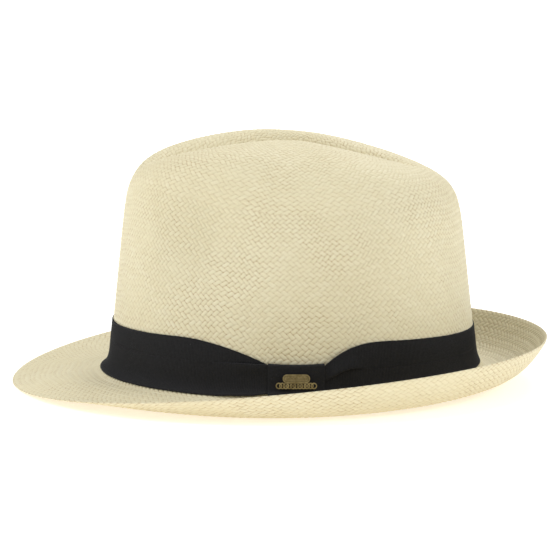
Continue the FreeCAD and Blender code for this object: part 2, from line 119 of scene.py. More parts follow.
def brim_point(angle, outward):
    """A point of the brim's top face; outward runs from 0 at the brim break to 1 at the edge."""
    start = np.array([
        (HALF_WIDTH + BREAK_RADIUS) * math.cos(angle),
        (HALF_LENGTH + BREAK_RADIUS) * math.sin(angle),
    ])
    edge = np.array([
        BRIM_HALF_WIDTH * math.cos(angle) * (1 - 0.04 * math.sin(angle)),
        (BRIM_BACK - BRIM_FRONT) / 2 + (BRIM_BACK + BRIM_FRONT) / 2 * math.sin(angle),
    ])
    edge_z = EDGE_HEIGHT + EDGE_TILT * math.sin(angle) + EDGE_ROLL * math.cos(2 * angle)
    side = math.cos(angle) ** 2
    forward = (1 - math.sin(angle)) / 2
    power = mix(2.6, 2.0, forward) * (1 - side) + 3.4 * side
    sag = 4.0 * side * max(math.sin(math.pi * outward), 0.0) ** 1.5
    z = mix(BASE_HEIGHT, edge_z, outward ** power) - sag
    return np.array([*mix(start, edge, outward), z])


def break_point(angle, turn):
    """The rounded inside corner between crown and brim; turn runs from 0 up top to 1 below."""
    flare = BREAK_RADIUS * (1 - math.cos(turn * math.pi / 2))
    z = BASE_HEIGHT + BREAK_RADIUS * (1 - math.sin(turn * math.pi / 2))
    reach = 1 - TAPER * (z - BASE_HEIGHT) / CROWN_HEIGHT
    return np.array([
        (HALF_WIDTH * reach + flare) * math.cos(angle),
        (HALF_LENGTH * reach + flare) * math.sin(angle),
        z,
    ])


def divide_crown(angle):
    """Evenly spaced points up the crown's outer face, from the brim break to the tip."""
    shares = np.linspace(0, 1, FINE_STEPS + 1)
    rises = shares ** 4 / (shares ** 4 + (1 - shares) ** 4)
    fine = np.array([crown_point(angle, rise) for rise in rises])
    fine = fine[fine[:, 2] > BASE_HEIGHT + BREAK_RADIUS]
    travelled = np.concatenate([[0], np.cumsum(np.linalg.norm(np.diff(fine, axis=0), axis=1))])
    wanted = np.linspace(0, travelled[-1], CROWN_ROWS)
    return np.stack([np.interp(wanted, travelled, fine[:, axis]) for axis in range(3)], axis=1)


def outer_column(angle):
    """The straw's outer face at one station, from the tip down the crown and out to the edge."""
    crown = divide_crown(angle)[::-1].copy()
    level = crown_point(0.0, 1.0)[2] - 0.3
    for row, reach in enumerate((TIP_SPAN, TIP_SPAN * 1.6)):
        crown[row] = (reach * math.cos(angle), reach * math.sin(angle), level)
    corner = [break_point(angle, step / BREAK_ROWS) for step in range(1, BREAK_ROWS)]
    brim = [brim_point(angle, step / BRIM_ROWS) for step in range(BRIM_ROWS + 1)]
    return np.concatenate([crown, corner, brim])


def offset_net(net, distance):
    """Moves each point of a net along the face's normal; positive is out and up."""
    after = np.concatenate([net[:, 1:], net[:, -1:]], axis=1)
    before = np.concatenate([net[:, :1], net[:, :-1]], axis=1)
    across = np.roll(net, -1, axis=0) - np.roll(net, 1, axis=0)
    normal = np.cross(after - before, across)
    normal /= np.linalg.norm(normal, axis=2, keepdims=True)
    normal[:, :TIP_ROWS] = (0, 0, 1)
    return net + normal * distance


def straw_net():
    """Control points of the whole skin: over the crown, round the brim's edge and back inside."""
    outer = np.array([outer_column(2 * math.pi * step / COLUMNS) for step in range(COLUMNS)])
    outward = outer[:, -1] - outer[:, -2]
    outward /= np.linalg.norm(outward, axis=1, keepdims=True)
    lip = offset_net(outer, -STRAW_THICKNESS / 2)[:, -1] + outward * STRAW_THICKNESS / 2
    inner = offset_net(outer, -STRAW_THICKNESS)[:, ::-1]
    return np.concatenate([outer, lip[:, None], inner], axis=1)


# ------------------------------------------------------------------ smooth skin over the net
def closed_weights(count, samples):
    """Cubic spline weights round a closed row of control points."""
    weights = np.zeros((samples, count))
    place = np.arange(samples) * count / samples
    base = np.floor(place).astype(int)
    part = place - base
    shares = (
        (1 - part) ** 3 / 6,
        (3 * part ** 3 - 6 * part ** 2 + 4) / 6,
        (-3 * part ** 3 + 3 * part ** 2 + 3 * part + 1) / 6,
        part ** 3 / 6,
    )
    for shift, share in zip((-1, 0, 1, 2), shares):
        weights[np.arange(samples), (base + shift) % count] += share
    return weights


def open_weights(count, samples):
    """Cubic spline weights along a row of control points that starts and ends on its ends."""
    knots = np.concatenate([[0] * 3, np.arange(count - 2), [count - 3] * 3]).astype(float)
    place = np.linspace(0, count - 3 - 1e-9, samples)[:, None]
    weights = ((knots[:-1] <= place) & (place < knots[1:])).astype(float)
    for degree in (1, 2, 3):
        low, high = knots[:-degree - 1], knots[degree:-1]
        low_next, high_next = knots[1:-degree], knots[degree + 1:]
        rising = np.divide(place - low, high - low, out=np.zeros_like(weights[:, :-1]), where=high > low)
        falling = np.divide(
            high_next - place, high_next - low_next,
            out=np.zeros_like(weights[:, :-1]), where=high_next > low_next,
        )
        weights = rising * weights[:, :-1] + falling * weights[:, 1:]
    return weights


class Skin:
    """The whole straw skin, finely sampled: rows from the tip, round the edge, to the tip inside."""

    SAMPLES = 1500

    def __init__(self, net, columns):
        down = open_weights(net.shape[1], self.SAMPLES)
        around = closed_weights(net.shape[0], columns)
        self.points = np.einsum("ri,cj,jia->rca", down, around, net, optimize=True)
        steps = np.linalg.norm(np.diff(self.points, axis=0), axis=2)
        self.travelled = np.concatenate([np.zeros((1, columns)), np.cumsum(steps, axis=0)])
        along = np.gradient(self.points, axis=0)
        across = np.roll(self.points, -1, axis=1) - np.roll(self.points, 1, axis=1)
        normals = np.cross(along, across)
        self.normals = normals / np.maximum(np.linalg.norm(normals, axis=2, keepdims=True), 1e-12)
        reach = np.hypot(self.points[:, :, 0], self.points[:, :, 1])
        self.lip = np.argmax(reach, axis=0)

    def crossing(self, height, inside=False):
        """For each column, the travelled length where the wall passes a height."""
        lengths = np.empty(self.points.shape[1])
        for column, lip in enumerate(self.lip):
            if inside:
                rows = np.arange(self.SAMPLES - 1, lip, -1)
            else:
                rows = np.arange(0, lip)
            heights = self.points[rows, column, 2]
            shoulder = np.argmax(heights)
            first = shoulder + np.argmax(heights[shoulder:] < height)
            upper, lower = rows[first - 1], rows[first]
            share = (self.points[upper, column, 2] - height) / (
                self.points[upper, column, 2] - self.points[lower, column, 2]
            )
            lengths[column] = mix(
                self.travelled[upper, column], self.travelled[lower, column], share
            )
        return lengths

    def at(self, lengths):
        """Points and normals at travelled lengths, one row of lengths for each row wanted."""
        points = np.empty(lengths.shape + (3,))
        normals = np.empty(lengths.shape + (3,))
        for column in range(lengths.shape[1]):
            travelled = self.travelled[:, column]
            for axis in range(3):
                points[:, column, axis] = np.interp(
                    lengths[:, column], travelled, self.points[:, column, axis]
                )
                normals[:, column, axis] = np.interp(
                    lengths[:, column], travelled, self.normals[:, column, axis]
                )
        normals /= np.linalg.norm(normals, axis=2, keepdims=True)
        return points, normals


# ------------------------------------------------------------------ meshes
def make_object(name, points, faces):
    """A smooth-shaded mesh object from millimetre points in the crown's own frame."""
    mesh = bpy.data.meshes.new(name)
    co = ((points.reshape(-1, 3) + CENTRING) * MM).astype(np.float32)
    faces = np.asarray(faces, dtype=np.int32)
    mesh.vertices.add(len(co))
    mesh.vertices.foreach_set("co", co.ravel())
    mesh.loops.add(faces.size)
    mesh.loops.foreach_set("vertex_index", faces.ravel())
    mesh.polygons.add(len(faces))
    mesh.polygons.foreach_set("loop_start", np.arange(0, faces.size, faces.shape[1], dtype=np.int32))
    mesh.update(calc_edges=True)
    mesh.polygons.foreach_set("use_smooth", np.full(len(faces), True))
    mesh.validate()
    piece = bpy.data.objects.new(name, mesh)
    bpy.context.scene.collection.objects.link(piece)
    return piece


def grid_faces(rows, columns, closed_rows, closed_columns=True):
    """Quads of a grid of points, in the order that faces them outwards."""
    last_row = rows if closed_rows else rows - 1
    last_column = columns if closed_columns else columns - 1
    row, column = np.meshgrid(np.arange(last_row), np.arange(last_column), indexing="ij")
    below, beside = (row + 1) % rows, (column + 1) % columns
    corners = (
        row * columns + column,
        below * columns + column,
        below * columns + beside,
        row * columns + beside,
    )
    return np.stack(corners, axis=-1).reshape(-1, 4)


def add_corner_vectors(piece, name, values):
    """Stores a vector on every face corner, for the piece's material to read."""
    layer = piece.data.attributes.new(name, "FLOAT_VECTOR", "CORNER")
    layer.data.foreach_set("vector", values.astype(np.float32).ravel())


# ------------------------------------------------------------------ the weave
RELIEF = 0.50                     # height of the weave, from the holes to the tops of the strands
ACROSS_SAMPLES = 5                # grid points in one plait cell round the hat
DOWN_SAMPLES = 5                  # and down its wall
STILL_ROWS = 12                   # grid rows at each end over which the plait stops wandering


def strand_height(i, j):
    """Relief of a two-over, two-under plait, from 0 in its holes to 1 on its floats."""
    warp_body = np.abs(np.sin(np.pi * i)) ** 0.55
    weft_body = np.abs(np.sin(np.pi * j)) ** 0.55
    warp_rise = np.cos(np.pi / 2 * (j - np.floor(i + 1e-6)))
    weft_rise = np.cos(np.pi / 2 * (i - np.floor(j + 1e-6) - 3))
    return np.maximum(warp_body * (0.5 + 0.5 * warp_rise), weft_body * (0.5 + 0.5 * weft_rise))


def soft_waves(rows, columns, amount, long_wave):
    """A gentle random field over the skin, closed round the hat."""
    row = np.arange(rows)[:, None] / long_wave
    turn = np.arange(columns)[None, :] / columns * 2 * math.pi
    field = np.zeros((rows, columns))
    for _ in range(14):
        round_waves = rng.integers(2, 26)
        down_waves = rng.normal(0, 1.6)
        field += rng.normal() * np.cos(round_waves * turn + down_waves * row + rng.uniform(0, 6.28))
    return field / field.std() * amount


def wander(points, amount):
    """Lets the rows and strands of the plait wander a little within the skin."""
    rows, columns = points.shape[:2]
    along = np.gradient(points, axis=0)
    across = (np.roll(points, -1, axis=1) - np.roll(points, 1, axis=1)) / 2
    field = soft_waves(rows, columns, amount, 60)
    row_jitter = np.convolve(rng.normal(0, 0.5, rows + 8), np.ones(9) / 9, "valid")[:, None]
    side = soft_waves(rows, columns, amount * 0.8, 45)
    from_end = np.minimum(np.arange(rows), rows - 1 - np.arange(rows))
    share = np.clip(from_end / STILL_ROWS, 0, 1)[:, None]
    moved = along * ((field + row_jitter) * share)[:, :, None]
    moved += across * (side * share)[:, :, None]
    return points + moved


def lay_weave(points, normals, strands, lattice, strength):
    """Raises the plait on a grid of points; strands is the count round the hat for each row."""
    rows, columns = points.shape[:2]
    turn = np.arange(columns)[None, :] / columns
    u = strands[:, None] * turn
    v = lattice[:, None]
    height = (strand_height(u + v, u - v) - 0.6) * RELIEF * strength[:, None]
    return points + normals * height[:, :, None]


def weave_corners(faces_rows, columns, strands, lattice):
    """Plait coordinates on the corners of every quad, with no jump where the grid closes."""
    row, column = np.meshgrid(np.arange(faces_rows), np.arange(columns), indexing="ij")
    values = np.zeros((faces_rows, columns, 4, 3))
    for corner, (down, over) in enumerate(((0, 0), (1, 0), (1, 1), (0, 1))):
        u = strands[row] * (column + over) / columns
        v = lattice[row + down]
        values[:, :, corner, 0] = u + v
        values[:, :, corner, 1] = u - v
        values[:, :, corner, 2] = strands[row]
    return values.reshape(-1, 3)


CROWN_STRANDS = 172
BRIM_STRANDS = 210
CROWN_CELLS = 74                  # plait cells from the tip to the foot of the crown
BRIM_CELLS = 18
SPLIT_HEIGHT = 9.0                # the crown and brim meshes meet here, under the ribbon
RING_RATIO = 0.74                 # share of the strands left at each ring towards the tip
MOST_RINGS = 9
FEWEST_STRANDS = 8
CROWN_WANDER, BRIM_WANDER = 0.9, 0.7


def ring_strands(reach_share):
    """How many strands run round at each row: fewer at each ring towards the tip."""
    strands = np.empty(len(reach_share))
    for row, share in enumerate(reach_share):
        rings = 0
        while share < RING_RATIO ** (rings + 1) * 1.12 and rings < MOST_RINGS:
            rings += 1
        strands[row] = max(FEWEST_STRANDS, round(CROWN_STRANDS * RING_RATIO ** rings))
    return strands


def spread_rows(share):
    """Puts the grid's rows a little closer together towards the tip."""
    return 0.8 * share + 0.2 * share ** 2


def straw_crown(net):
    """The crown, inside and out, from its tip to its foot; its weave closes in towards the tip."""
    columns = CROWN_STRANDS * ACROSS_SAMPLES
    skin = Skin(net, columns)
    rows = CROWN_CELLS * DOWN_SAMPLES + 1
    share = spread_rows(np.linspace(0, 1, rows)[:, None])
    outer, outer_normals = skin.at(share * skin.crossing(SPLIT_HEIGHT)[None, :])
    whole = skin.travelled[-1]
    inner_start = skin.crossing(SPLIT_HEIGHT, inside=True)
    inner_rows = (rows + 1) // 2
    inner_share = 1 - spread_rows(1 - np.linspace(0, 1, inner_rows)[:, None])
    inner, inner_normals = skin.at(mix(inner_start[None, :], whole[None, :], inner_share))
    around = np.linalg.norm(np.roll(outer, -1, axis=1) - outer, axis=2).sum(axis=1)
    strands = ring_strands(around / around.max())
    lattice = np.arange(rows) / DOWN_SAMPLES
    from_tip, from_foot = np.arange(rows), rows - 1 - np.arange(rows)
    strength = np.clip(from_foot / 10, 0, 1) * np.clip(from_tip / 6, 0, 1)
    outer = lay_weave(wander(outer, CROWN_WANDER), outer_normals, strands, lattice, strength)
    inner_strands, inner_lattice = strands[::-2], lattice[::-2]
    inner_strength = 0.8 * np.clip(np.arange(inner_rows) / 6, 0, 1)
    inner = lay_weave(inner, inner_normals, inner_strands, inner_lattice, inner_strength)
    points = np.concatenate([outer, inner])
    faces = grid_faces(len(points), columns, closed_rows=False)
    all_strands = np.concatenate([strands, inner_strands])
    all_lattice = np.concatenate([lattice, inner_lattice])
    corners = weave_corners(len(points) - 1, columns, all_strands, all_lattice)
    piece = make_object("straw_crown", points, faces)
    add_corner_vectors(piece, "weave", corners)
    return piece


def straw_brim(net):
    """The brim, over and under, joined to the crown's mesh under the ribbon."""
    columns = BRIM_STRANDS * ACROSS_SAMPLES
    skin = Skin(net, columns)
    rows = BRIM_CELLS * DOWN_SAMPLES + 1
    edge = skin.travelled[skin.lip, np.arange(columns)]
    start, end = skin.crossing(SPLIT_HEIGHT), skin.crossing(SPLIT_HEIGHT, inside=True)
    share = np.linspace(0, 1, rows)[:, None]
    over, over_normals = skin.at(mix(start[None, :], edge[None, :], share))
    under, under_normals = skin.at(mix(edge[None, :], end[None, :], share))
    lattice = np.arange(rows) / DOWN_SAMPLES
    strands = np.full(rows, float(BRIM_STRANDS))
    from_foot, from_edge = np.arange(rows), rows - 1 - np.arange(rows)
    strength = np.clip(from_foot / 6, 0, 1) * np.clip(from_edge / 3, 0, 1)
    over = lay_weave(wander(over, BRIM_WANDER), over_normals, strands, lattice, strength)
    under = wander(under, BRIM_WANDER)
    under = lay_weave(under, under_normals, strands, lattice[::-1], strength[::-1])
    points = np.concatenate([over, under[1:]])
    all_lattice = np.concatenate([lattice, lattice[::-1][1:], lattice[:1]])
    all_strands = np.full(len(all_lattice), float(BRIM_STRANDS))
    faces = grid_faces(len(points), columns, closed_rows=True)
    piece = make_object("straw_brim", points, faces)
    add_corner_vectors(piece, "weave", weave_corners(len(points), columns, all_strands, all_lattice))
    return piece


# ------------------------------------------------------------------ node helpers
class Wire:
    """A socket that can be used in arithmetic, so that a pattern reads as a formula."""

    def __init__(self, tree, socket):
        self.tree = tree
        self.socket = socket

    def node(self, operation, *others):
        node = self.tree.nodes.new("ShaderNodeMath")
        node.operation = operation
        for index, value in enumerate((self, *others)):
            if isinstance(value, Wire):
                self.tree.links.new(value.socket, node.inputs[index])
            else:
                node.inputs[index].default_value = value
        return Wire(self.tree, node.outputs[0])

    def __add__(self, other):
        return self.node("ADD", other)

    def __sub__(self, other):
        return self.node("SUBTRACT", other)

    def __mul__(self, other):
        return self.node("MULTIPLY", other)

    def __rsub__(self, other):
        return (self * -1.0) + other

    def floor(self):
        return self.node("FLOOR")

    def fract(self):
        return self.node("FRACT")

    def absolute(self):
        return self.node("ABSOLUTE")

    def modulo(self, size):
        return self.node("FLOORED_MODULO", size)

    def below(self, limit):
        return self.node("LESS_THAN", limit)

    def step(self, low, high):
        """0 below low, 1 above high, smooth between."""
        node = self.tree.nodes.new("ShaderNodeMapRange")
        node.interpolation_type = "SMOOTHSTEP"
        self.tree.links.new(self.socket, node.inputs["Value"])
        node.inputs["From Min"].default_value = low
        node.inputs["From Max"].default_value = high
        return Wire(self.tree, node.outputs["Result"])


def choose(switch, when_on, when_off):
    """One wire or another, by a switch that is 0 or 1."""
    return when_off + switch * (when_on - when_off)


def new_material(name):
    material = bpy.data.materials.new(name)
    material.use_nodes = True
    tree = material.node_tree
    shader = tree.nodes["Principled BSDF"]
    return material, tree, shader


def blend_colours(tree, factor, first, second):
    """A colour between two; each is a colour or a socket."""
    node = tree.nodes.new("ShaderNodeMix")
    node.data_type = "RGBA"
    node.clamp_factor = True
    tree.links.new(factor.socket, node.inputs["Factor"])
    for value, socket in ((first, node.inputs["A"]), (second, node.inputs["B"])):
        if isinstance(value, tuple):
            socket.default_value = (*value, 1.0)
        else:
            tree.links.new(value, socket)
    return node.outputs["Result"]


def object_place(tree):
    return tree.nodes.new("ShaderNodeTexCoord").outputs["Object"]


def noise(tree, vector, scale, detail=2.0, roughness=0.5):
    node = tree.nodes.new("ShaderNodeTexNoise")
    node.inputs["Scale"].default_value = scale
    node.inputs["Detail"].default_value = detail
    node.inputs["Roughness"].default_value = roughness
    tree.links.new(vector, node.inputs["Vector"])
    return Wire(tree, node.outputs["Fac"])


def joined(tree, x, y, z=None):
    node = tree.nodes.new("ShaderNodeCombineXYZ")
    tree.links.new(x.socket, node.inputs["X"])
    tree.links.new(y.socket, node.inputs["Y"])
    if z is not None:
        tree.links.new(z.socket, node.inputs["Z"])
    return node.outputs["Vector"]


def random_of(tree, vector):
    node = tree.nodes.new("ShaderNodeTexWhiteNoise")
    node.noise_dimensions = "3D"
    tree.links.new(vector, node.inputs["Vector"])
    return Wire(tree, node.outputs["Value"])


def add_bump(tree, shader, height, distance, strength=1.0):
    node = tree.nodes.new("ShaderNodeBump")
    node.inputs["Distance"].default_value = distance
    node.inputs["Strength"].default_value = strength
    tree.links.new(height.socket, node.inputs["Height"])
    tree.links.new(node.outputs["Normal"], shader.inputs["Normal"])


# ------------------------------------------------------------------ materials
STRAW_LIGHT = (0.74, 0.685, 0.485)
STRAW_DEEP = (0.69, 0.62, 0.41)
STRAW_PALE = (0.77, 0.73, 0.56)
# painted shade: the tan-brown colour of the weave's gaps, standing in for the shade between the strands
STRAW_GAP_SHADE = (0.42, 0.29, 0.14)


def straw_material():
    """Plaited palm straw: every strand has its own tone, and painted shade darkens the gaps beside its
    floats.
    """
    material, tree, shader = new_material("plaited_straw")
    attribute = tree.nodes.new("ShaderNodeAttribute")
    attribute.attribute_name = "weave"
    parts = tree.nodes.new("ShaderNodeSeparateXYZ")
    tree.links.new(attribute.outputs["Vector"], parts.inputs[0])
    i, j = Wire(tree, parts.outputs["X"]), Wire(tree, parts.outputs["Y"])
    warp, weft = i.floor(), j.floor()
    warp_on_top = (warp - weft).modulo(4.0).below(1.5)
    across = choose(warp_on_top, i.fract(), j.fract())
    from_middle = (across - 0.5).absolute() * 2.0
    warp_along = (j - warp + 2.0).modulo(4.0) - 2.0
    weft_along = (i - weft - 1.0).modulo(4.0) - 2.0
    along = choose(warp_on_top, warp_along, weft_along)
    from_crest = along.absolute()
    strand = choose(warp_on_top, warp, weft + 5000.5)
    length_of_strand = choose(warp_on_top, j, i)

    strand_tone = random_of(tree, joined(tree, strand, strand * 0.37))
    float_tone = random_of(tree, joined(tree, warp, weft, strand))
    fibre_place = joined(tree, across * 9.0, length_of_strand * 0.45, strand)
    fibres = noise(tree, fibre_place, 1.0, 3.0, 0.6)
    patches = noise(tree, object_place(tree), 14.0, 3.0)

    tone = strand_tone * 0.2 + float_tone * 0.12 + fibres * 0.3 + patches * 0.7 - 0.15
    body = blend_colours(tree, tone.step(0.1, 0.95), STRAW_DEEP, STRAW_LIGHT)
    body = blend_colours(tree, (tone - 0.6).step(0.0, 0.5), body, STRAW_PALE)
    edge_shade = from_middle.step(0.62, 1.0)
    end_shade = from_crest.step(0.68, 1.0)
    # painted shade: strand edges and float ends darken towards the gap colour, by a random amount in
    # each hole and in soft patches
    hole_shade_tone = random_of(tree, joined(tree, warp + 0.3, weft + 0.7, strand))
    gap_shade_rows = noise(tree, object_place(tree), 26.0, 2.0).step(0.38, 0.62)
    shade = edge_shade * 0.34 + end_shade * 0.62 + edge_shade * end_shade * 0.7
    gap_shade_strength = (hole_shade_tone * 0.7 + 0.3) * (gap_shade_rows * 0.5 + 0.5)
    colour = blend_colours(tree, shade * gap_shade_strength, body, STRAW_GAP_SHADE)
    tree.links.new(colour, shader.inputs["Base Color"])
    rough = fibres * 0.16 + shade * 0.25 + 0.42
    tree.links.new(rough.socket, shader.inputs["Roughness"])
    shader.inputs["Specular IOR Level"].default_value = 0.35
    height = (1.0 - edge_shade * 0.8) * (1.0 - end_shade * 0.6) + fibres * 0.18
    add_bump(tree, shader, height, 0.00012, 0.8)
    return material


def ribbon_material(name, tint, lift):
    """Black grosgrain; the ribs are in the mesh, and the thread and lint are here."""
    material, tree, shader = new_material(name)
    place = object_place(tree)
    lint = noise(tree, place, 1100.0, 2.0, 0.7)
    cloud = noise(tree, place, 22.0, 3.0)
    dark = tuple(channel * 0.6 for channel in tint)
    pale = tuple(channel * lift for channel in tint)
    colour = blend_colours(tree, (lint * 0.6 + cloud * 0.5).step(0.35, 0.8), dark, pale)
    fluff = noise(tree, place, 420.0, 1.0, 0.4).step(0.79, 0.83)
    colour = blend_colours(tree, fluff * 0.35, colour, (0.09, 0.09, 0.095))
    tree.links.new(colour, shader.inputs["Base Color"])
    rough = cloud * 0.2 + 0.62
    tree.links.new(rough.socket, shader.inputs["Roughness"])
    shader.inputs["Specular IOR Level"].default_value = 0.22
    shader.inputs["Sheen Weight"].default_value = 0.12
    shader.inputs["Sheen Roughness"].default_value = 0.4
    shader.inputs["Sheen Tint"].default_value = (0.75, 0.76, 0.8, 1.0)
    add_bump(tree, shader, lint, 0.00008, 0.5)
    return material


def cotton_material(name, tint, scale, lift):
    """Undyed cotton with fine thread in its tone, roughness and bump."""
    material, tree, shader = new_material(name)
    place = object_place(tree)
    fine = noise(tree, place, scale, 3.0, 0.6)
    cloud = noise(tree, place, 18.0, 2.0)
    dark = tuple(channel * 0.7 for channel in tint)
    pale = tuple(min(1.0, channel * lift) for channel in tint)
    colour = blend_colours(tree, (fine * 0.7 + cloud * 0.4).step(0.3, 0.85), dark, pale)
    tree.links.new(colour, shader.inputs["Base Color"])
    rough = fine * 0.2 + 0.7
    tree.links.new(rough.socket, shader.inputs["Roughness"])
    add_bump(tree, shader, fine, 0.0001, 0.7)
    return material


def brass_material():
    """Antique brass: bright where it is rubbed, dark brown in its recesses."""
    material, tree, shader = new_material("antique_brass")
    place = object_place(tree)
    stain = noise(tree, place, 380.0, 3.0, 0.6)
    wear = noise(tree, place, 2600.0, 2.0)
    hollow = tree.nodes.new("ShaderNodeAmbientOcclusion")
    hollow.inputs["Distance"].default_value = 0.0009
    hollow.only_local = True
    open_face = Wire(tree, hollow.outputs["AO"]).step(0.35, 0.95)
    rubbed = blend_colours(tree, stain.step(0.3, 0.75), (0.23, 0.18, 0.085), (0.42, 0.34, 0.17))
    colour = blend_colours(tree, open_face, (0.045, 0.035, 0.02), rubbed)
    tree.links.new(colour, shader.inputs["Base Color"])
    shader.inputs["Metallic"].default_value = 0.85
    rough = stain * 0.2 + 0.34
    tree.links.new(rough.socket, shader.inputs["Roughness"])
    add_bump(tree, shader, wear, 0.00003, 0.5)
    return material


# the woven border on the label, in metres from the label's middle
BORDER_ACROSS = (0.0098, 0.0106)
BORDER_UP = (0.0036, 0.0042)
LABEL_MIDDLE_HEIGHT = 0.0292


def line_between(wire, start, end):
    """A line in a pattern, 1 between two places, with soft edges."""
    soft = 0.0002
    return wire.step(start, start + soft) - wire.step(end, end + soft)


def label_material():
    """Undyed woven cloth with a plain darker border woven round its edge."""
    material, tree, shader = new_material("woven_label")
    place = object_place(tree)
    parts = tree.nodes.new("ShaderNodeSeparateXYZ")
    tree.links.new(place, parts.inputs[0])
    across = Wire(tree, parts.outputs["X"]).absolute()
    up = (Wire(tree, parts.outputs["Z"]) - LABEL_MIDDLE_HEIGHT).absolute()
    fine = noise(tree, place, 2600.0, 2.0)
    lines = line_between(across, *BORDER_ACROSS) + line_between(up, *BORDER_UP)
    border = lines.step(0.2, 0.9) * 0.8
    cloth = blend_colours(tree, fine.step(0.3, 0.7), (0.60, 0.56, 0.47), (0.76, 0.72, 0.63))
    colour = blend_colours(tree, border, cloth, (0.16, 0.11, 0.07))
    tree.links.new(colour, shader.inputs["Base Color"])
    rough = fine * 0.2 + 0.65
    tree.links.new(rough.socket, shader.inputs["Roughness"])
    add_bump(tree, shader, fine, 0.00008, 0.6)
    return material


# ------------------------------------------------------------------ ribbon round the crown
BAND_BOTTOM = 6.5
BAND_TOP = 34.3
LAYER_GAP = 0.25
GATHER = 12.3
GATHER_AHEAD = 55.0
GATHER_BEHIND = 41.0
FRONT_PLEAT_HEIGHT = 23.6
REAR_PLEAT_HEIGHT = 15.4
REAR_PLEAT_RISE = 6.2
KNOT_HALF_WIDTH = 15.0
KNOT_BEHIND_MIDDLE = 1.7
KNOT_BOTTOM, KNOT_TOP = 6.0, 24.5
KNOT_BACK, KNOT_FRONT = 0.25, 3.43
CLOTH = 0.42                      # thickness of the ribbon
RIB_PITCH = 0.85
RIB_COLUMNS = 4                   # grid columns in one rib
RIB_HEIGHT = 0.11
BACK_LIFT = 3.4                   # the ribbon's lower edge rises at the back, clear of the brim's flare
LAYER_STEP = 0.56                 # from one layer of the folded ribbon to the next
FRONT_PUFF, REAR_PUFF = 0.55, 1.9 # how far the folded edges stand out
MIDDLE = KNOT_BEHIND_MIDDLE / HALF_LENGTH


def fade(value, start, end):
    """1 before the start, 0 after the end, and smooth between."""
    share = np.clip((value - start) / (end - start), 0, 1)
    return 1 - share * share * (3 - 2 * share)


def beside_knot(angle):
    """The length along the band from the middle of the knot; positive is towards the back."""
    turned = angle - MIDDLE
    return np.arctan2(np.sin(turned), np.cos(turned)) * HALF_LENGTH


def gathered(along):
    """How strongly the ribbon is gathered, from 0 to 1 at the knot."""
    beyond = np.abs(along) - KNOT_HALF_WIDTH
    ahead = (1 - np.clip(beyond / GATHER_AHEAD, 0, 1)) ** 1.9
    behind = (1 - np.clip(beyond / GATHER_BEHIND, 0, 1)) ** 3
    return np.where(along < 0, ahead, behind)


def band_top(angle):
    free = BAND_TOP - 1.4 * np.sin(angle) + 1.65 * np.cos(2 * angle)
    return free - GATHER * gathered(beside_knot(angle))


class Wall:
    """The outer face of the crown's wall, looked up by angle and height."""

    STEP = 0.4

    def __init__(self, net):
        self.columns = 1440
        skin = Skin(net, self.columns)
        self.heights = np.arange(5.4, 46.0, self.STEP)
        lengths = np.stack([skin.crossing(height) for height in self.heights])
        self.points, self.normals = skin.at(lengths)

    def at(self, angle, height, distance):
        """Points at angles and heights, a distance out from the straw; arrays of one shape."""
        angle, height, distance = np.broadcast_arrays(angle, height, distance)
        column = (angle / (2 * np.pi) * self.columns) % self.columns
        row = np.clip((height - self.heights[0]) / self.STEP, 0, len(self.heights) - 1.001)
        left, low = np.floor(column).astype(int), np.floor(row).astype(int)
        over, up = (column - left)[..., None], (row - low)[..., None]
        left, right = left % self.columns, (left + 1) % self.columns

        def look(table):
            below = table[low, left] * (1 - over) + table[low, right] * over
            above = table[low + 1, left] * (1 - over) + table[low + 1, right] * over
            return below * (1 - up) + above * up

        normals = look(self.normals)
        normals /= np.linalg.norm(normals, axis=-1, keepdims=True)
        return look(self.points) + normals * distance[..., None]


def slab(name, front, back, closed_rows=False):
    """A thin cloth between two grids of points; all its free edges are filled in."""
    rows, columns = front.shape[:2]
    row = np.arange(rows if closed_rows else rows - 1)
    after = (row + 1) % rows
    if closed_rows:
        points = np.concatenate([front, back])
        side = grid_faces(rows, columns, True, False)
        faces = [side, side[:, ::-1] + rows * columns]
        far, far_after = rows + row, rows + after
    else:
        points = np.concatenate([front, back[::-1]])
        faces = [grid_faces(2 * rows, columns, True, False)]
        far, far_after = 2 * rows - 1 - row, 2 * rows - 1 - after
    ring = np.stack([row, far, far_after, after], axis=1) * columns
    faces += [ring, ring[:, ::-1] + columns - 1]
    return make_object(name, points, np.concatenate(faces))


def across_normals(height, distance):
    """Unit directions square to a cloth's path, given as heights and distances down its rows."""
    rise, run = np.gradient(height, axis=0), np.gradient(distance, axis=0)
    length = np.maximum(np.hypot(rise, run), 1e-9)
    return -run / length, rise / length


FOLD_ROWS = 26                    # grid rows up the layers of a fold that show
HIDDEN_ROWS = 7
TURN_ROWS = 7


def fold_path(bottom, first_turn, second_turn, top, layers):
    """A cloth's path up the wall: up to the first turn, back down to the second, up to the top."""
    def line(start, end, distance, rows):
        share = np.linspace(0, 1, rows)[:, None]
        return mix(start, end, share), np.broadcast_to(distance, (rows, len(distance)))

    def turn(height, start, end, upwards):
        angle = np.linspace(0, math.pi, TURN_ROWS + 2)[1:-1, None]
        radius = np.abs(end - start) / 2
        lift = radius * np.sin(angle) * (1 if upwards else -1)
        return height + lift, mix(start, end, (1 - np.cos(angle)) / 2)

    steps = (
        line(bottom, first_turn, layers[0], FOLD_ROWS),
        turn(first_turn, layers[0], layers[1], True),
        line(first_turn, second_turn, layers[1], HIDDEN_ROWS),
        turn(second_turn, layers[1], layers[2], False),
        line(second_turn, top, layers[2], FOLD_ROWS),
    )
    height = np.concatenate([step[0] for step in steps])
    distance = np.concatenate([step[1] for step in steps])
    return height, distance


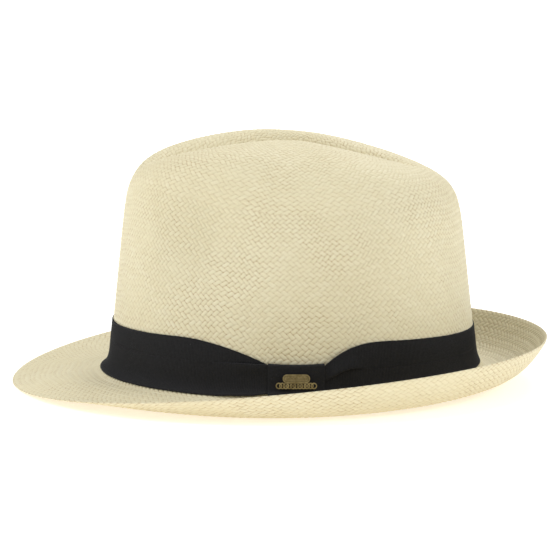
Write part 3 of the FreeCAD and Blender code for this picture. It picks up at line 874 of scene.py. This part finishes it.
def hat_band(wall):
    """The ribbon round the crown, its ribs upright, folded into a pleat at both sides of its knot."""
    ribs = round(math.pi * (HALF_WIDTH + HALF_LENGTH) / RIB_PITCH)
    columns = (ribs - 2) * RIB_COLUMNS
    angle = MIDDLE + 2 * math.pi * (np.arange(columns) + RIB_COLUMNS) / (ribs * RIB_COLUMNS)
    along = beside_knot(angle)
    ahead = along < 0
    beyond = np.abs(along) - KNOT_HALF_WIDTH
    rib = np.cos(np.arange(columns) * 2 * math.pi / RIB_COLUMNS)
    ragged = np.convolve(rng.normal(0, 1, columns + 4), np.ones(5) / 5, "valid")
    top = band_top(angle) + 0.10 * rib + 0.10 * ragged
    back_lift = BACK_LIFT * np.clip(np.sin(angle), 0, 1) ** 2
    bottom = BAND_BOTTOM + back_lift + 0.8 * fade(np.abs(along), 15, 22) + 0.06 * rib
    start = LAYER_GAP + 0.75 * fade(np.abs(along), 15, 30) + CLOTH / 2 + 0.05
    doubled = np.where(ahead, fade(beyond, 12, 32), fade(beyond, 9, 27))
    step = LAYER_STEP * doubled
    depth = GATHER * gathered(along) / 2
    rear_share = np.clip(beyond / 16, 0, 1)
    rear_fold = REAR_PLEAT_HEIGHT + REAR_PLEAT_RISE * np.sin(rear_share * math.pi / 2)
    rear_fold = rear_fold - 1.4 * (1 - fade(beyond, 16, 30))
    front_fold = np.minimum(FRONT_PLEAT_HEIGHT, top - 0.35)
    first = np.where(ahead, front_fold, rear_fold + depth)
    second = np.where(ahead, front_fold - depth, rear_fold)
    first, second = np.minimum(first, top - 0.3), np.maximum(second, bottom + 1)
    layers = (
        start + np.where(ahead, 2 * step, 0),
        start + step,
        start + np.where(ahead, 0, 2 * step),
    )
    height, distance = fold_path(bottom, first, second, top, layers)
    # the folded edge stands out from the layer under it
    past_knot = 1 - fade(beyond, -1, 6)
    front_puff = FRONT_PUFF * past_knot * fade(beyond, 8, 26) * ahead
    rear_puff = REAR_PUFF * past_knot * fade(beyond, 10, 26) * ~ahead
    row = np.arange(len(height))[:, None]
    lower = row < FOLD_ROWS + (TURN_ROWS + 1) // 2
    upper = row > FOLD_ROWS + TURN_ROWS + HIDDEN_ROWS // 2
    below_fold, above_fold = (front_fold - height) / 3.2, (height - rear_fold) / 5.0
    distance = distance + front_puff * np.exp(-below_fold ** 2) * lower
    distance = distance + rear_puff * np.exp(-above_fold ** 2) * upper
    hollow = np.exp(-((height - 17.5) / 3.0) ** 2) * fade(beyond, 14, 30) * past_knot * ahead
    distance = distance - 0.35 * hollow * lower
    waves = 0.16 * np.sin(along / 23 + 1.3 * np.sin(along / 41))
    distance = distance + waves * (1 - past_knot * doubled)
    edge = np.minimum(height - bottom, top - height)
    selvedge = 0.05 * np.exp(-(edge / 0.5) ** 2)
    over, out = across_normals(height, distance)
    relief = CLOTH / 2 + RIB_HEIGHT * rib * (1 - np.exp(-(edge / 0.4) ** 2)) + selvedge
    front = wall.at(angle, height + over * relief, distance + out * relief)
    back = wall.at(angle, height - over * CLOTH / 2, distance - out * CLOTH / 2)
    return slab("hat_band_ribbon", front[::-1], back[::-1])


KNOT_COLUMNS = 61
KNOT_SIDE_ROWS = 100
KNOT_TURN_ROWS = 16
KNOT_BEND = 0.5                   # height of the wrap's bend over the band's edge


def knot_wrap(wall):
    """The short ribbon wrapped round the gathered band; its ribs lie level."""
    share = np.linspace(-1, 1, KNOT_COLUMNS)
    low, high = KNOT_BOTTOM + CLOTH / 2 + 0.1, KNOT_TOP - CLOTH / 2
    out, back = KNOT_FRONT - CLOTH / 2 - 0.05, KNOT_BACK + CLOTH / 2
    side = KNOT_SIDE_ROWS
    turn = np.linspace(0, math.pi, KNOT_TURN_ROWS + 2)[1:-1]
    middle, radius = (out + back) / 2, (out - back) / 2
    height = np.concatenate([
        np.linspace(high - KNOT_BEND, low + KNOT_BEND, side),
        low + KNOT_BEND - KNOT_BEND * np.sin(turn),
        np.linspace(low + KNOT_BEND, high - KNOT_BEND, side),
        high - KNOT_BEND + KNOT_BEND * np.sin(turn),
    ])[:, None]
    distance = np.concatenate([
        np.full(side, out),
        middle + radius * np.cos(turn),
        np.full(side, back),
        middle - radius * np.cos(turn),
    ])[:, None]
    outward = np.concatenate([
        np.ones(side), np.cos(turn), -np.ones(side), -np.cos(turn),
    ])[:, None]
    upward = np.concatenate([
        np.zeros(side), -np.sin(turn), np.zeros(side), np.sin(turn),
    ])[:, None]
    shape = np.broadcast_to(height, (len(height), KNOT_COLUMNS))
    in_front = np.clip(outward, 0, 1)
    narrowed = 1 - 0.035 * fade(height, 8, 22)
    spread = share * narrowed * KNOT_HALF_WIDTH
    sag = 0.45 * (1 - share ** 2) * np.clip((height - 15) / 9, 0, 1)
    ripple = 0.14 * np.sin(share * 5.2 + 0.6) + 0.10 * np.sin(share * 11 + height * 0.12)
    rounded = 0.35 * np.abs(share) ** 6
    ribs = RIB_HEIGHT * np.cos(np.arange(len(height)) * 2 * math.pi / RIB_COLUMNS)[:, None]
    edge = np.exp(-((1 - np.abs(share)) / 0.03) ** 2)
    relief = CLOTH / 2 + ribs * (1 - 0.8 * edge) + 0.04 * edge
    angle = MIDDLE + spread / HALF_LENGTH
    path = distance + in_front * (ripple - rounded)
    outer = wall.at(angle, shape - sag + upward * relief, path + outward * relief)
    inner = wall.at(angle, shape - sag - upward * CLOTH / 2, path - outward * CLOTH / 2)
    return slab("band_knot_ribbon", outer, inner, closed_rows=True)


# ------------------------------------------------------------------ inside the opening
SWEATBAND_BOTTOM, SWEATBAND_TOP = 10.6, 38.0
SWEATBAND_OUTSIDE = -1.72
SWEATBAND_CLOTH = 0.72
SWEATBAND_FACE = SWEATBAND_OUTSIDE - SWEATBAND_CLOTH
REED_HEIGHT, REED_RADIUS = 9.8, 1.0
STITCH_HEIGHT, STITCH_PITCH = 13.0, 4.4
BACK = math.pi / 2                # the angle of the hat's middle back
INSIDE_LENGTH = 92.0              # radius that turns an angle into a length inside the crown


def sweatband_tape(wall):
    """The cotton tape that touches the head; its two ends meet at the middle of the back."""
    columns, rows = 2200, 44
    angle = BACK + 2 * math.pi * (np.arange(columns) + 0.5) / columns
    share = np.linspace(0, 1, rows)[:, None]
    wave = 0.35 * np.sin(angle * 7) * np.sin(angle * 3 + 1) * share ** 3
    height = mix(SWEATBAND_BOTTOM, SWEATBAND_TOP, share) + wave
    twill = 0.07 * np.sin(math.pi * (np.arange(columns)[None, :] / 2 + np.arange(rows)[:, None]))
    dimple = 0.16 * np.exp(-((height - STITCH_HEIGHT) / 0.8) ** 2)
    hem = 0.12 * np.exp(-((height - SWEATBAND_BOTTOM) / 0.7) ** 2)
    hem = hem + 0.12 * np.exp(-((height - SWEATBAND_TOP) / 0.7) ** 2)
    inner = wall.at(angle, height, SWEATBAND_FACE + dimple - twill - hem)
    outer = wall.at(angle, height, np.full_like(height, SWEATBAND_OUTSIDE))
    return slab("sweatband_tape", inner, outer)


def tube(centres, normals, sides, radius):
    """Rings of points round a path; radius may change along it."""
    along = np.gradient(centres, axis=0)
    along /= np.linalg.norm(along, axis=1, keepdims=True)
    across = np.cross(normals, along)
    turn = 2 * math.pi * np.arange(sides) / sides
    spokes = np.cos(turn)[:, None, None] * normals + np.sin(turn)[:, None, None] * across
    return centres[None] + spokes * radius[..., None]


def reed_cord(wall):
    """The round reed in its cloth cover, with the cover's slanting threads."""
    columns, sides = 1800, 16
    angle = 2 * math.pi * np.arange(columns) / columns
    distance = np.full(columns, SWEATBAND_OUTSIDE - REED_RADIUS + 0.02)
    centres = wall.at(angle, np.full(columns, REED_HEIGHT), distance)
    outward = wall.at(angle, np.full(columns, REED_HEIGHT), distance + 1) - centres
    side = np.arange(sides)[:, None]
    slant = np.arange(columns)[None, :] / 3 + side / 2
    radius = REED_RADIUS * (0.97 + 0.05 * np.cos(math.pi * slant))
    points = tube(centres, outward, sides, radius)
    return make_object("reed_cover", points, grid_faces(sides, columns, True)[:, ::-1])


def stitches(wall):
    """The row of separate thread stitches that holds the sweatband to its reed."""
    count = round(2 * math.pi * INSIDE_LENGTH / STITCH_PITCH)
    sides, rings = 8, 9
    points, faces = [], []
    place = np.linspace(-1, 1, rings)
    for number in range(count):
        angle = (number + 0.5 + rng.uniform(-0.06, 0.06)) * 2 * math.pi / count
        reach = 0.36 * 2 * math.pi / count
        slant = rng.uniform(-0.12, 0.12)
        angles = angle + place * reach
        dip = 0.42 * place ** 4
        distance = SWEATBAND_FACE - 0.20 + dip
        heights = STITCH_HEIGHT + slant * place + rng.uniform(-0.08, 0.08)
        centres = wall.at(angles, heights, distance)
        outward = wall.at(angles, heights, distance + 1) - centres
        radius = 0.27 * (1 - 0.5 * place ** 6)
        ring = tube(centres, outward, sides, np.broadcast_to(radius, (sides, rings)))
        faces.append(grid_faces(sides, rings, True, False)[:, ::-1] + number * sides * rings)
        points.append(ring)
    return make_object("sweatband_stitches", np.array(points), np.concatenate(faces))


def inside_grid(wall, along, height, rise):
    """Points on the sweatband's face at the back; rise is the distance off it."""
    return wall.at(BACK + along / INSIDE_LENGTH, height, SWEATBAND_FACE - rise)


BOW_HEIGHT = 17.9
BOW_HALF_CLOTH = 0.10


def bow_strip(wall, name, along, height, rise):
    """A strip of the bow's ribbon along a path on the sweatband."""
    front = inside_grid(wall, along, height, rise + BOW_HALF_CLOTH)
    back = inside_grid(wall, along, height, rise - BOW_HALF_CLOTH)
    return slab(name, front, back)


def small_bow(wall):
    """The narrow ribbon bow over the sweatband's join: two loops, two tails and a tight middle."""
    across = np.linspace(-1, 1, 15)[:, None]
    sides = ((-1, "right"), (1, "left"))
    pieces = []
    turn = np.linspace(0, 2 * math.pi, 90)
    for side, word in sides:
        along = side * (0.6 + 8.0 * np.sin(turn / 2) ** 1.1)
        rise = 0.72 + 0.42 * np.sin(turn) * np.abs(np.sin(turn / 2)) + 0.03 * across ** 2
        height = BOW_HEIGHT + across * (1.5 + 1.6 * np.sin(turn / 2)) + 0.2 * side
        pieces.append(bow_strip(wall, f"inner_bow_loop_{word}", along, height, rise))
    share = np.linspace(0, 1, 40)
    rise = 0.22 + 0.10 * np.sin(share * 5) ** 2
    for side, word in sides:
        notch = 1.0 * np.abs(across) * share ** 8
        along = side * (0.8 + 7.0 * share) + side * notch
        height = BOW_HEIGHT - 0.6 - 2.6 * share ** 1.3 + across * (1.4 + 0.9 * share)
        pieces.append(bow_strip(wall, f"inner_bow_tail_{word}", along, height, rise))
    turn = np.linspace(0, 2 * math.pi, 49)[:-1, None]
    knot_along = np.linspace(-1.4, 1.4, 13)[None, :]
    bulge = 1 - 0.2 * (knot_along / 1.4) ** 4
    knot_sides = []
    for half_height, half_depth in ((2.1, 0.72), (1.8, 0.5)):
        height = BOW_HEIGHT + half_height * bulge * np.sin(turn)
        rise = 0.78 + half_depth * bulge * np.cos(turn)
        knot_sides.append(inside_grid(wall, knot_along, height, rise))
    pieces.append(slab("inner_bow_knot", *knot_sides, closed_rows=True))
    return pieces


def label(wall):
    """A small woven label, its short ends turned under; a plain border is woven in its face."""
    columns, rows = 131, 51
    along = np.linspace(-13, 13, columns)[None, :]
    height = np.linspace(34, 24, rows)[:, None]
    thread = 0.025 * np.sin(math.pi * (np.arange(columns)[None, :] + np.arange(rows)[:, None]) / 2)
    from_end = 13 - np.abs(along)
    turned_under = 0.14 * fade(from_end, 1.6, 2.4)
    curl = 0.12 * (np.abs(along) / 13) ** 6 * np.abs((height - 29) / 5) ** 2
    front = inside_grid(wall, along, height, 0.40 + turned_under + curl + thread)
    back = inside_grid(wall, along, height, 0.12 + curl)
    return slab("size_label_cloth", front, back)


# ------------------------------------------------------------------ stage
FLOOR_RADIUS = 9.0
WORLD_LIGHT = 0.54
LAMPS = (
    ("key", (0.4, -1.5, 1.5), 0.8, 14.0),
    ("top", (-0.3, -0.1, 2.1), 0.8, 9.0),
    ("back", (0.6, 1.6, 1.1), 0.8, 8.5),
    ("rim", (-1.3, 0.5, 1.5), 0.8, 9.0),
)
CAMERA_ELEVATION = math.radians(11.0)
CAMERA_DISTANCE = 1.73
CAMERA_LENS = 200.2
WATCHED = Vector((0.0, 0.0075, 0.0214))     # the camera stands this distance from here
AIM = Vector((0.0, 0.0002, 0.0548))


def build_stage():
    """A round pale floor that glows as painted light, brightening to white away from the hat, with
    painted warm bounce light from the straw near it.
    """
    rings, spokes = 40, 96
    reach = FLOOR_RADIUS * (np.arange(1, rings + 1) / rings) ** 3
    turn = 2 * math.pi * np.arange(spokes) / spokes
    points = [(0.0, 0.0, 0.0)]
    points += [(r * math.cos(t), r * math.sin(t), 0.0) for r in reach for t in turn]
    faces = [(0, 1 + k, 1 + (k + 1) % spokes) for k in range(spokes)]
    for ring in range(rings - 1):
        for k in range(spokes):
            inner, outer = 1 + ring * spokes, 1 + (ring + 1) * spokes
            after = (k + 1) % spokes
            faces.append((inner + k, outer + k, outer + after, inner + after))
    mesh = bpy.data.meshes.new("studio_floor")
    mesh.from_pydata(points, [], faces)
    floor = bpy.data.objects.new("studio_floor", mesh)
    bpy.context.scene.collection.objects.link(floor)
    material, tree, shader = new_material("studio_white")
    shader.inputs["Base Color"].default_value = (0.9, 0.9, 0.9, 1.0)
    shader.inputs["Roughness"].default_value = 0.9
    distance = tree.nodes.new("ShaderNodeVectorMath")
    distance.operation = "LENGTH"
    tree.links.new(object_place(tree), distance.inputs[0])
    away = Wire(tree, distance.outputs["Value"])
    # painted light: the floor glows and lights the hat from below, more strongly away from the hat; the
    # warm tint close to the hat is painted bounce light from the straw
    glow = away.step(0.12, 0.9) * 0.3 + 0.5
    tint = blend_colours(tree, away.step(0.13, 0.24), (1.0, 0.93, 0.84), (1.0, 1.0, 1.0))
    tree.links.new(tint, shader.inputs["Emission Color"])
    tree.links.new(glow.socket, shader.inputs["Emission Strength"])
    mesh.materials.append(material)


def build_lights():
    """An overcast white room, seen as white, with large soft lamps."""
    world = bpy.data.worlds.new("studio")
    bpy.context.scene.world = world
    world.use_nodes = True
    tree = world.node_tree
    shown = tree.nodes.new("ShaderNodeLightPath")
    level = Wire(tree, shown.outputs["Is Camera Ray"]) * (1.0 - WORLD_LIGHT) + WORLD_LIGHT
    background = tree.nodes["Background"]
    background.inputs["Color"].default_value = (1, 1, 1, 1)
    tree.links.new(level.socket, background.inputs["Strength"])
    for name, place, span, power in LAMPS:
        data = bpy.data.lights.new(name, "AREA")
        data.shape = "DISK"
        data.size = span
        data.energy = power
        light = bpy.data.objects.new(name, data)
        light.location = place
        light.rotation_euler = (-Vector(place)).to_track_quat("-Z", "Y").to_euler()
        bpy.context.scene.collection.objects.link(light)


def build_camera():
    """Looks at the hat's left side from a little above the brim."""
    direction = Vector((math.cos(CAMERA_ELEVATION), 0, math.sin(CAMERA_ELEVATION)))
    place = WATCHED + CAMERA_DISTANCE * direction
    data = bpy.data.cameras.new("camera")
    data.sensor_width = 36.0
    data.lens = CAMERA_LENS
    camera = bpy.data.objects.new("camera", data)
    camera.location = place
    camera.rotation_euler = (AIM - place).to_track_quat("-Z", "Y").to_euler()
    bpy.context.scene.collection.objects.link(camera)
    bpy.context.scene.camera = camera


# ------------------------------------------------------------------ the hat
def finish_piece(piece, material, node):
    """Gives a piece its material and slot, and shows it in place of its frame node."""
    piece.data.materials.clear()
    piece.data.materials.append(material)
    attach(piece, "root")
    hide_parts(node)
    return piece


NET = straw_net()
WALL = Wall(NET)
STRAW = straw_material()
COTTON = cotton_material("cotton_tape", (0.50, 0.45, 0.35), 900.0, 1.35)
COTTON_THREAD = cotton_material("stitch_thread", (0.62, 0.57, 0.45), 3000.0, 1.3)
NARROW_RIBBON = ribbon_material("narrow_ribbon", (0.020, 0.019, 0.019), 1.9)

finish_piece(straw_crown(NET), STRAW, "straw_body")
finish_piece(straw_brim(NET), STRAW, "straw_body")
band = finish_piece(
    hat_band(WALL), ribbon_material("band_grosgrain", (0.0075, 0.0075, 0.0085), 1.8),
    "hat_band",
)
knot = finish_piece(
    knot_wrap(WALL), ribbon_material("knot_grosgrain", (0.009, 0.009, 0.010), 1.8),
    "band_knot",
)
tape = finish_piece(sweatband_tape(WALL), COTTON, "sweatband")
reed = finish_piece(reed_cord(WALL), COTTON, "sweatband_reed")
sewing = finish_piece(stitches(WALL), COTTON_THREAD, "sweatband_stitching")
bow_parts = [
    finish_piece(part, NARROW_RIBBON, "sweatband_bow") for part in small_bow(WALL)
]
tag = finish_piece(label(WALL), label_material(), "size_label")

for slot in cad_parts["badge"].material_slots:
    slot.material = brass_material()

build_stage()
build_lights()
build_camera()
bpy.context.scene.view_settings.view_transform = "Standard"
